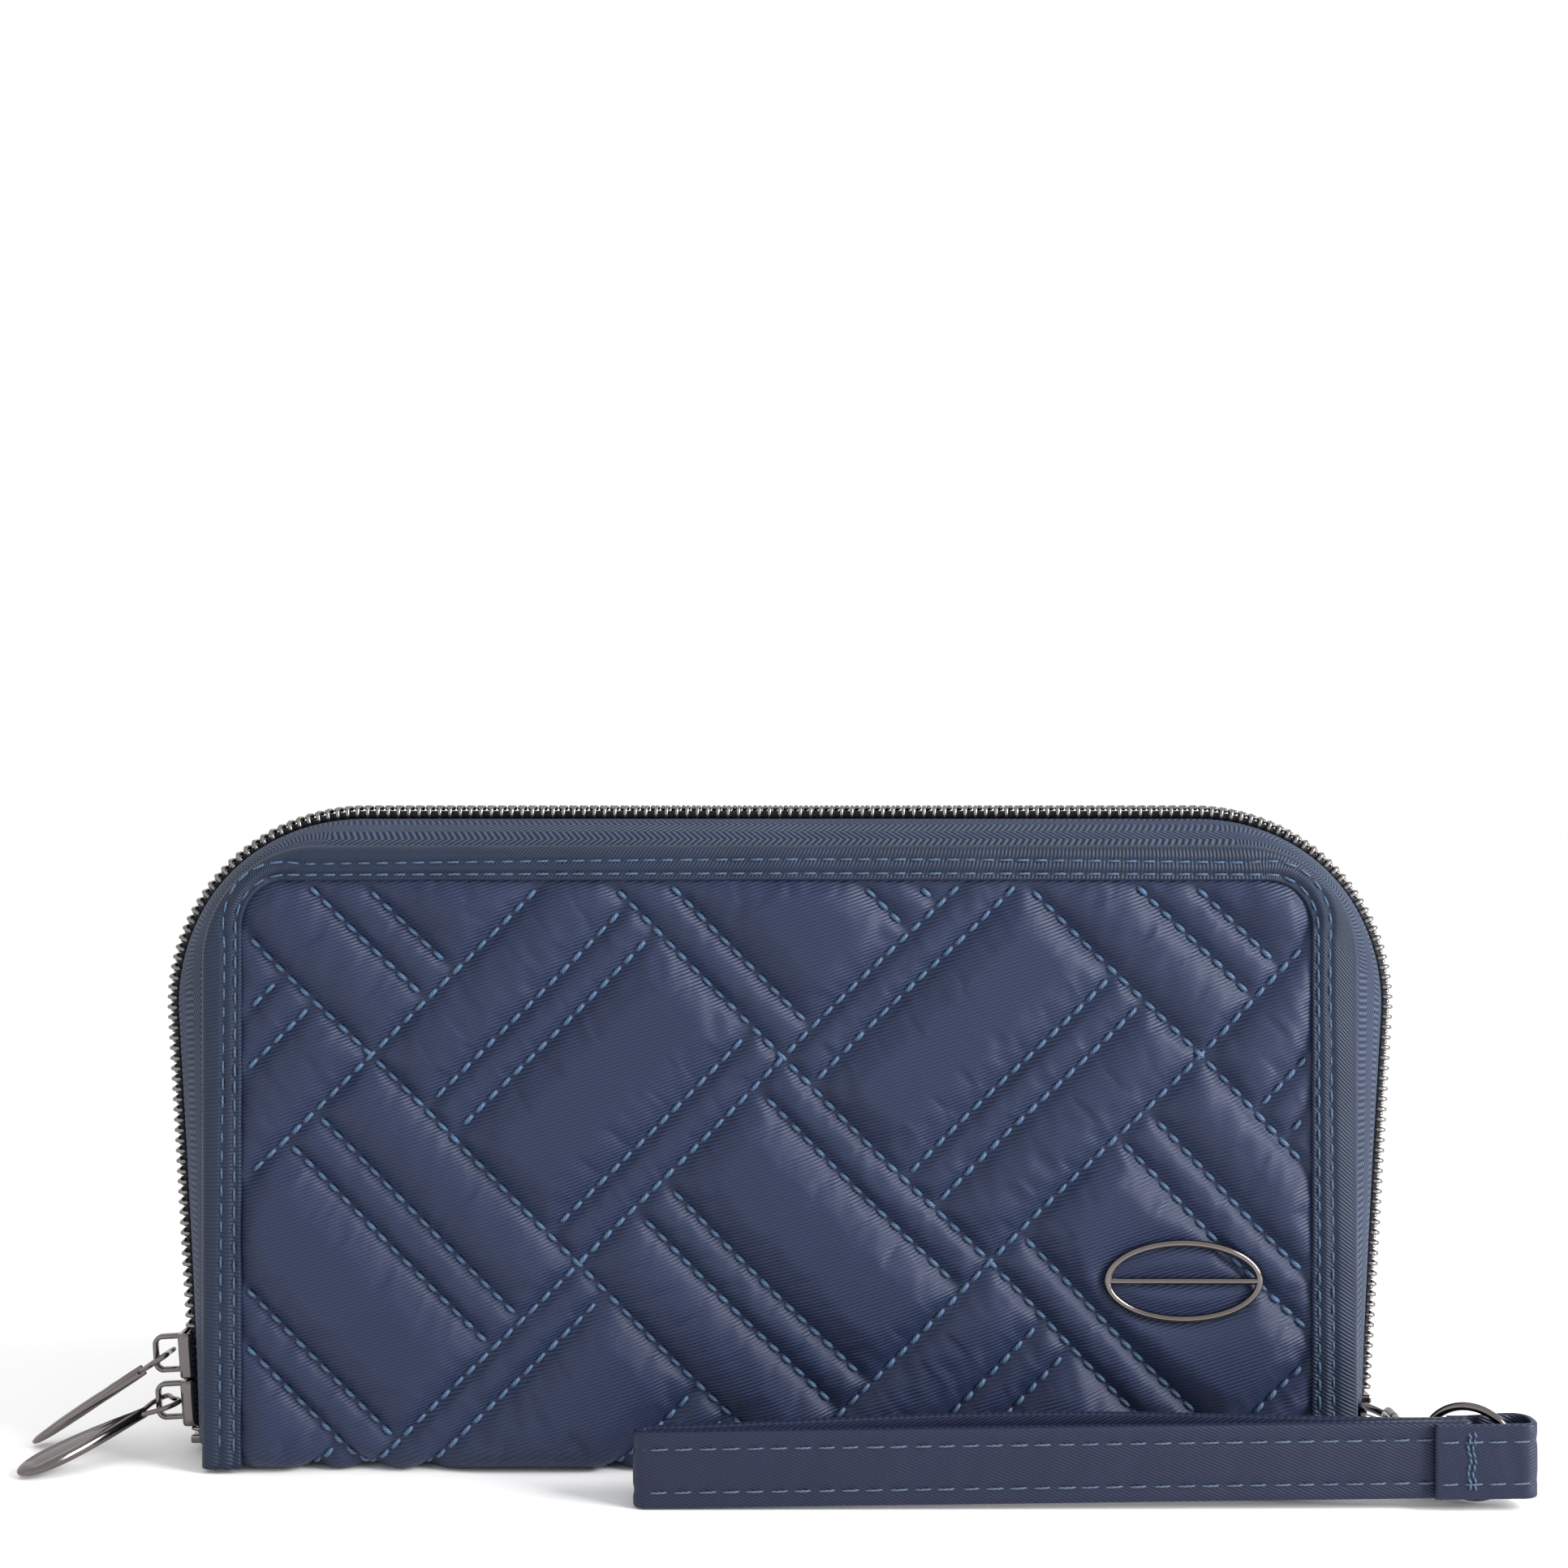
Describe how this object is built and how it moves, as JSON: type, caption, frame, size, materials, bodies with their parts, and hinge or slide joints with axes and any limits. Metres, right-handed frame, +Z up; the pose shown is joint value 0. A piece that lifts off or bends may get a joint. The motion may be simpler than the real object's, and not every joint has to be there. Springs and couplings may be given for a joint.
{
  "type": "wristlet wallet",
  "caption": "Quilted zip-around wristlet wallet: padded clamshell covers with bound edges, sliders with teardrop pulls, a coin pocket leaf and a folded wrist strap on a swivel clasp.",
  "frame": {"origin": "middle of the base, on the flat underside of the spine that the wallet stands on", "axes": "+X to the right as the front face is seen, +Y from the front face to the back, +Z up"},
  "size_m": [0.2569, 0.051, 0.1143],
  "materials": {
    "quilt": "quilted satin twill, padded",
    "binding": "folded twill tape",
    "tape": "woven zip tape",
    "lining": "smooth woven lining",
    "pocket": "smooth woven lining",
    "window": "clear flexible film",
    "coil": "metallised coil",
    "gunmetal": "dark gunmetal plating, polished",
    "strap": "folded satin twill strap"
  },
  "bodies": {
    "front_shell": {"front_panel": "quilt", "front_binding": "binding", "front_lining": "lining", "front_card_pocket_1": "pocket", "front_card_pocket_2": "pocket", "front_card_pocket_3": "pocket", "front_zip_tape": "tape", "front_zip_chain": "coil", "left_end_tape": "tape", "left_end_chain": "coil", "right_end_tape": "tape", "right_end_chain": "coil", "left_zip_stop": "gunmetal", "right_zip_stop": "gunmetal", "left_gusset": "lining", "right_gusset": "lining", "spine_panel": "quilt", "spine_lining": "lining", "badge": "gunmetal", "ring_tab": "strap"},
    "rear_cover": {"rear_panel": "quilt", "rear_binding": "binding", "rear_lining": "lining", "rear_card_pocket_1": "pocket", "rear_card_pocket_2": "pocket", "rear_card_pocket_3": "pocket", "id_window": "window", "rear_zip_tape": "tape", "rear_zip_chain": "coil"},
    "coin_leaf": {"coin_pocket": "lining", "coin_zip_tape_front": "tape", "coin_zip_tape_rear": "tape", "coin_zip_chain_front": "coil", "coin_zip_chain_rear": "coil"},
    "coin_slider": {"coin_slider": "gunmetal"},
    "coin_pull": {"coin_pull": "gunmetal"},
    "lower_slider": {"lower_slider": "gunmetal", "lower_slider_bridge": "gunmetal"},
    "lower_pull": {"lower_pull": "gunmetal"},
    "upper_slider": {"upper_slider": "gunmetal", "upper_slider_bridge": "gunmetal"},
    "upper_pull": {"upper_pull": "gunmetal"},
    "d_ring": {"d_ring": "gunmetal"},
    "clasp": {"clasp_hook": "gunmetal"},
    "gate": {"clasp_gate": "gunmetal"},
    "swivel": {"swivel_eye": "gunmetal"},
    "strap_ring": {"strap_ring": "gunmetal"},
    "strap": {"strap_loop": "strap", "strap_end_wrap": "strap"}
  },
  "joints": [
    {"name": "cover_hinge", "type": "hinge", "parent": "front_shell", "child": "rear_cover", "pos_m": [0, 0.015, 0.00315], "axis": [-1, 0, 0], "range_deg": [0, 90]},
    {"name": "coin_leaf_hinge", "type": "hinge", "parent": "front_shell", "child": "coin_leaf", "pos_m": [0, 0, 0.0046], "axis": [-1, 0, 0], "range_deg": [0, 45]},
    {"name": "coin_slider_slide", "type": "slide", "parent": "coin_leaf", "child": "coin_slider", "axis": [1, 0, 0], "range_m": [0, 0.138]},
    {"name": "coin_pull_hinge", "type": "hinge", "parent": "coin_slider", "child": "coin_pull", "pos_m": [-0.066, 0, 0.09475], "axis": [0, 1, 0], "range_deg": [0, 170]},
    {"name": "lower_slider_slide", "type": "slide", "parent": "front_shell", "child": "lower_slider", "axis": [-0.0574, 0, 0.9984], "range_m": [0, 0.02]},
    {"name": "upper_slider_slide", "type": "slide", "parent": "lower_slider", "child": "upper_slider", "axis": [-0.0574, 0, 0.9984], "range_m": [0, 0.02]},
    {"name": "lower_pull_hinge", "type": "hinge", "parent": "lower_slider", "child": "lower_pull", "pos_m": [-0.10825, 0.0009, 0.00839], "axis": [-0.6691, 0.7431, 0], "range_deg": [0, 50]},
    {"name": "upper_pull_hinge", "type": "hinge", "parent": "upper_slider", "child": "upper_pull", "pos_m": [-0.10874, 0, 0.01679], "axis": [0.0523, 0.9986, 0], "range_deg": [0, 115]},
    {"name": "d_ring_hinge", "type": "hinge", "parent": "front_shell", "child": "d_ring", "pos_m": [0.1026, 0.003, 0.0062], "axis": [0, -1, 0], "range_deg": [0, 45]},
    {"name": "clasp_hinge", "type": "hinge", "parent": "d_ring", "child": "clasp", "pos_m": [0.1082, -0.0011, 0.0038], "axis": [0, 0, 1], "range_deg": [0, 10]},
    {"name": "gate_hinge", "type": "hinge", "parent": "clasp", "child": "gate", "pos_m": [0.1082, -0.0104, 0.0065], "axis": [-1, 0, 0], "range_deg": [0, 25], "stiffness_Nm_per_rad": 0.02, "springref_deg": -8.59},
    {"name": "clasp_swivel", "type": "hinge", "parent": "clasp", "child": "swivel", "pos_m": [0.1082, -0.0196, 0.0038], "axis": [0, 1, 0], "continuous": true},
    {"name": "strap_ring_hinge", "type": "hinge", "parent": "swivel", "child": "strap_ring", "pos_m": [0.1082, -0.027, 0.0038], "axis": [0, 0, 1], "range_deg": [0, 55]},
    {"name": "strap_hinge", "type": "hinge", "parent": "strap_ring", "child": "strap", "pos_m": [0.12, -0.0334, 0], "axis": [0, 0, 1], "range_deg": [0, 6]}
  ],
  "couplings": [
    {"joint": "coin_leaf_hinge", "follows": "cover_hinge", "ratio": 0.5}
  ]
}
